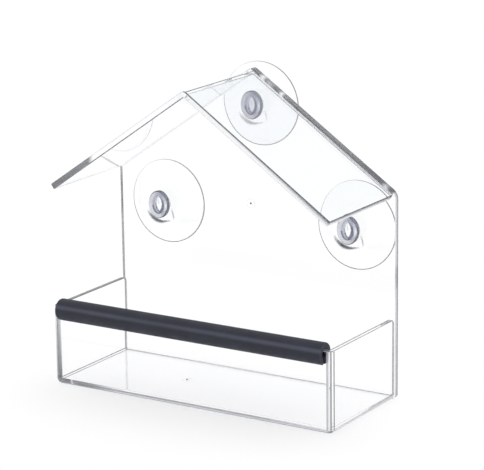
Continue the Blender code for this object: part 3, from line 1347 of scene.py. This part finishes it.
def sleeve_tree():
    """Draw a closed outline along a straight line, draw in its ends and make it a little uneven."""
    tree = bpy.data.node_groups.new("foam_sleeve", "GeometryNodeTree")
    given, made = add_sockets(
        tree,
        [
            ("Outline", "NodeSocketGeometry", None),
            ("Half Length", "NodeSocketFloat", 0.071),
            ("Stations", "NodeSocketInt", 300),
            ("End Softness", "NodeSocketFloat", 0.0005),
            ("End Share", "NodeSocketFloat", 0.965),
            ("Unevenness", "NodeSocketFloat", 0.0001),
            ("Seed", "NodeSocketFloat", 4.0),
            ("Foam", "NodeSocketMaterial", None),
        ],
        [("Geometry", "NodeSocketGeometry")],
    )
    half = given["Half Length"]
    start = new_node(tree, "ShaderNodeCombineXYZ", Z=math_node(tree, "MULTIPLY", half, -1.0))
    end = new_node(tree, "ShaderNodeCombineXYZ", Z=half)
    line = new_node(tree, "GeometryNodeCurvePrimitiveLine", Start=start.outputs[0], End=end.outputs[0])
    fine = new_node(tree, "GeometryNodeResampleCurve", Curve=line.outputs[0], Count=given["Stations"])
    place = tree.nodes.new("GeometryNodeInputPosition").outputs[0]
    along = new_node(tree, "ShaderNodeSeparateXYZ", Vector=place).outputs["Z"]
    from_end = math_node(tree, "SUBTRACT", half, math_node(tree, "ABSOLUTE", along, 0.0))
    soft = new_node(
        tree, "ShaderNodeMapRange", Value=from_end, From_Max=given["End Softness"], To_Min=given["End Share"]
    )
    soft.interpolation_type = "SMOOTHERSTEP"
    profile = new_node(tree, "GeometryNodeMeshToCurve", Mesh=given["Outline"])
    sweep = new_node(
        tree,
        "GeometryNodeCurveToMesh",
        Curve=fine.outputs[0],
        Profile_Curve=profile.outputs[0],
        Scale=soft.outputs[0],
        Fill_Caps=True,
    )
    swell = new_node(tree, "ShaderNodeTexNoise", Scale=70.0, Detail=2.0)
    swell.noise_dimensions = "4D"
    feed(tree, swell.inputs["W"], given["Seed"])
    centred = math_node(tree, "SUBTRACT", swell.outputs[0], 0.65)
    push = tree.nodes.new("ShaderNodeVectorMath")
    push.operation = "SCALE"
    feed(tree, push.inputs[0], tree.nodes.new("GeometryNodeInputNormal").outputs[0])
    feed(tree, push.inputs["Scale"], math_node(tree, "MULTIPLY", centred, given["Unevenness"]))
    move = new_node(tree, "GeometryNodeSetPosition", Geometry=sweep.outputs[0], Offset=push.outputs[0])
    feed(tree, made["Geometry"], realized(tree, move.outputs[0], given["Foam"]))
    return tree


def grow(thing, tree, values):
    """Run a geometry tree on an object with named inputs, and keep the mesh that it makes."""
    modifier = thing.modifiers.new(tree.name, "NODES")
    modifier.node_group = tree
    sockets = {s.name: s.identifier for s in tree.interface.items_tree if s.in_out == "INPUT"}
    for name, value in values.items():
        modifier[sockets[name]] = value
    return settled(thing)


class FEEDER_OT_perch(Operator):
    """Make the slit foam sleeve that sits on the front wall"""

    bl_idname = "feeder.perch"
    bl_label = "Foam perch"

    def execute(self, context):
        values = perch_settings()
        low, high = BOXES["perch_sleeve"]
        centre = (low + high) / 2
        axis_height = high.z - (high.y - low.y) / 2
        outline = sleeve_outline()
        mesh = bpy.data.meshes.new("sleeve_outline")
        mesh.from_pydata(outline, [(i, (i + 1) % len(outline)) for i in range(len(outline))], [])
        sleeve = link("foam_sleeve", mesh)
        grow(
            sleeve,
            sleeve_tree(),
            {
                "Half Length": (high.x - low.x) / 2,
                "Stations": values.stations,
                "End Softness": values.end_softness,
                "Unevenness": values.unevenness,
                "Foam": foam_material(),
            },
        )
        along_x = Matrix(((0, 0, 1, 0), (1, 0, 0, 0), (0, 1, 0, 0), (0, 0, 0, 1)))
        sleeve.data.transform(Matrix.Translation((centre.x, centre.y, axis_height)) @ along_x)
        sleeve.data.shade_smooth()
        sleeve.data.set_sharp_from_angle(angle=math.radians(50))
        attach(sleeve, "perch")
        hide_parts("perch_sleeve")
        return {"FINISHED"}


# Where the marks are: on the panel's front face and on the tray's floor
PANEL_MARK_PLACE = (-0.0012, PANEL_FRONT_Y, 0.0836)
TRAY_MARK_PLACE = (-0.0199, -0.0008, 0.0025)


def mould_mark_tree():
    """At each point of a mesh, the mark that the mould's gate leaves: a fine ring round a small nub."""
    tree = bpy.data.node_groups.new("mould_mark", "GeometryNodeTree")
    given, made = add_sockets(
        tree,
        [
            ("Points", "NodeSocketGeometry", None),
            ("Ring Radius", "NodeSocketFloat", 0.0022),
            ("Line Radius", "NodeSocketFloat", 0.000025),
            ("Nub Radius", "NodeSocketFloat", 0.0005),
            ("Turn", "NodeSocketVector", (0.0, 0.0, 0.0)),
            ("Plastic", "NodeSocketMaterial", None),
        ],
        [("Geometry", "NodeSocketGeometry")],
    )
    circle = new_node(tree, "GeometryNodeCurvePrimitiveCircle", Resolution=48, Radius=given["Ring Radius"])
    line = new_node(tree, "GeometryNodeCurvePrimitiveCircle", Resolution=6, Radius=given["Line Radius"])
    ring = new_node(tree, "GeometryNodeCurveToMesh", Curve=circle.outputs[0], Profile_Curve=line.outputs[0])
    nub = new_node(tree, "GeometryNodeMeshUVSphere", Segments=16, Rings=8, Radius=given["Nub Radius"])
    flat = new_node(tree, "GeometryNodeTransform", Geometry=nub.outputs[0], Scale=(1, 1, 0.7))
    both = tree.nodes.new("GeometryNodeJoinGeometry")
    feed(tree, both.inputs[0], ring.outputs[0])
    feed(tree, both.inputs[0], flat.outputs[0])
    turned = new_node(tree, "GeometryNodeTransform", Geometry=both.outputs[0], Rotation=given["Turn"])
    marks = new_node(
        tree, "GeometryNodeInstanceOnPoints", Points=given["Points"], Instance=turned.outputs[0]
    )
    feed(tree, made["Geometry"], realized(tree, marks.outputs[0], given["Plastic"]))
    return tree


def mould_mark_material():
    """The marks' plastic: clear, with a dark grey colour that is painted shade."""
    return new_material(
        "mould_mark",
        Base_Color=(0.16, 0.17, 0.20, 1),
        Transmission_Weight=0.4,
        IOR=HARD_PLASTIC_IOR,
        Roughness=0.2,
    )[0]


class FEEDER_OT_marks(Operator):
    """Make the mould marks on the panel's front and the tray's floor"""

    bl_idname = "feeder.marks"
    bl_label = "Mould marks"

    def execute(self, context):
        tree = mould_mark_tree()
        plastic = mould_mark_material()
        for name, place, turn, slot in (
            ("panel_mark", PANEL_MARK_PLACE, (math.pi / 2, 0, 0), "clear_panel"),
            ("tray_mark", TRAY_MARK_PLACE, (0, 0, 0), "clear_tray"),
        ):
            mesh = bpy.data.meshes.new(name)
            mesh.from_pydata([place], [], [])
            mark = link(name, mesh)
            grow(mark, tree, {"Turn": turn, "Plastic": plastic})
            mark.data.shade_smooth()
            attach(mark, "house")
        return {"FINISHED"}


# The floor is a little below the feeder, so that their faces don't meet
FLOOR_LEVEL = -0.0002

# How the broad lamp leans from straight above
LAMP_LEAN = (math.radians(-6), math.radians(-5), 0)

# The photograph's width in pixels, in which the focal length is given, and the sensor that stands for it
PICTURE_WIDTH = 484
SENSOR_WIDTH = 36

WHITE = (1, 1, 1, 1)


def pale_floor_material():
    """A plain pale floor."""
    colour = with_alpha(stage_settings().floor_colour)
    return new_material("pale_floor", Base_Color=colour, Roughness=1, Specular_IOR_Level=0)[0]


def light_the_room():
    """A pale room: white where the camera looks, through clear plastic too, and a little darker overhead."""
    world = bpy.data.worlds.new("pale_room")
    bpy.context.scene.world = world
    world.use_nodes = True
    tree = world.node_tree
    path = tree.nodes.new("ShaderNodeLightPath").outputs
    place = tree.nodes.new("ShaderNodeTexCoord").outputs["Generated"]
    height = new_node(tree, "ShaderNodeSeparateXYZ", Vector=place).outputs["Z"]
    overhead = new_node(tree, "ShaderNodeMapRange", Value=height, From_Min=0.35, From_Max=0.85)
    overhead.interpolation_type = "SMOOTHSTEP"
    seen = mix_colour(tree, overhead.outputs[0], WHITE, (0.72, 0.76, 0.82, 1))
    looks = math_node(tree, "MAXIMUM", path["Is Glossy Ray"], path["Is Transmission Ray"])
    level = stage_settings().sky
    light = mix_colour(tree, looks, (level, level, level, 1), seen)
    final = mix_colour(tree, path["Is Camera Ray"], light, WHITE)
    set_inputs(tree, tree.nodes["Background"], Color=final, Strength=1)


def make_floor():
    """The pale floor that the feeder stands on."""
    half = stage_settings().floor_size / 2
    corners = [(x, y, FLOOR_LEVEL) for x, y in ((-half, -half), (half, -half), (half, half), (-half, half))]
    mesh = bpy.data.meshes.new("floor")
    mesh.from_pydata(corners, [], [(0, 1, 2, 3)])
    mesh.materials.append(pale_floor_material())
    link("floor", mesh)


def hang_lamp():
    """The broad soft lamp."""
    values = stage_settings()
    light = bpy.data.lights.new("broad_lamp", "SUN")
    light.energy = values.lamp
    light.angle = values.lamp_spread
    link("broad_lamp", light).rotation_euler = LAMP_LEAN


def place_camera():
    """The camera of the photograph."""
    values = stage_settings()
    lens = bpy.data.cameras.new("camera")
    lens.sensor_width = SENSOR_WIDTH
    lens.lens = values.focal_pixels * SENSOR_WIDTH / PICTURE_WIDTH
    lens.clip_start = 0.01
    bearing, tilt, roll = values.camera_turn
    turn = Matrix.Rotation(bearing, 4, "Z") @ Matrix.Rotation(math.pi / 2 + tilt, 4, "X")
    camera = link("camera", lens)
    camera.matrix_world = Matrix.Translation(values.camera_place) @ turn @ Matrix.Rotation(roll, 4, "Z")
    bpy.context.scene.camera = camera


class FEEDER_OT_stage(Operator):
    """Make the pale floor, the broad soft lamp and the camera"""

    bl_idname = "feeder.stage"
    bl_label = "Stage and camera"

    def execute(self, context):
        make_floor()
        light_the_room()
        hang_lamp()
        place_camera()
        context.scene.view_settings.view_transform = "Standard"
        return {"FINISHED"}


STEPS = (
    FEEDER_OT_stage,
    FEEDER_OT_panel,
    FEEDER_OT_roof,
    FEEDER_OT_tray,
    FEEDER_OT_cups,
    FEEDER_OT_perch,
    FEEDER_OT_marks,
)


class FEEDER_PT_panel(Panel):
    """The feeder's sizes, colours and building steps"""

    bl_idname = "FEEDER_PT_panel"
    bl_label = "Window bird feeder"
    bl_space_type = "VIEW_3D"
    bl_region_type = "UI"
    bl_category = "Feeder"

    def draw(self, context):
        scene = context.scene
        groups = (
            ("Clear sheets", scene.feeder_sheets),
            ("Suction cups", scene.feeder_cups),
            ("Foam perch", scene.feeder_perch),
            ("Stage", scene.feeder_stage),
        )
        for title, group in groups:
            box = self.layout.box()
            box.label(text=title)
            for name in group.__annotations__:
                box.prop(group, name)
        for step in STEPS:
            self.layout.operator(step.bl_idname)


GROUPS = {
    "feeder_sheets": SheetSettings,
    "feeder_cups": CupSettings,
    "feeder_perch": PerchSettings,
    "feeder_stage": StageSettings,
}


def register():
    """Add the classes and their settings to Blender."""
    for kind in (*GROUPS.values(), *STEPS, FEEDER_PT_panel):
        bpy.utils.register_class(kind)
    for name, kind in GROUPS.items():
        setattr(bpy.types.Scene, name, PointerProperty(type=kind))


def unregister():
    """Take them out again."""
    for name in GROUPS:
        delattr(bpy.types.Scene, name)
    for kind in reversed((*GROUPS.values(), *STEPS, FEEDER_PT_panel)):
        bpy.utils.unregister_class(kind)


def main():
    """Build the whole feeder on its stage."""
    register()
    bpy.ops.feeder.stage()
    bpy.ops.feeder.panel()
    bpy.ops.feeder.roof()
    bpy.ops.feeder.tray()
    bpy.ops.feeder.cups()
    bpy.ops.feeder.perch()
    bpy.ops.feeder.marks()


if __name__ == "__main__":
    main()
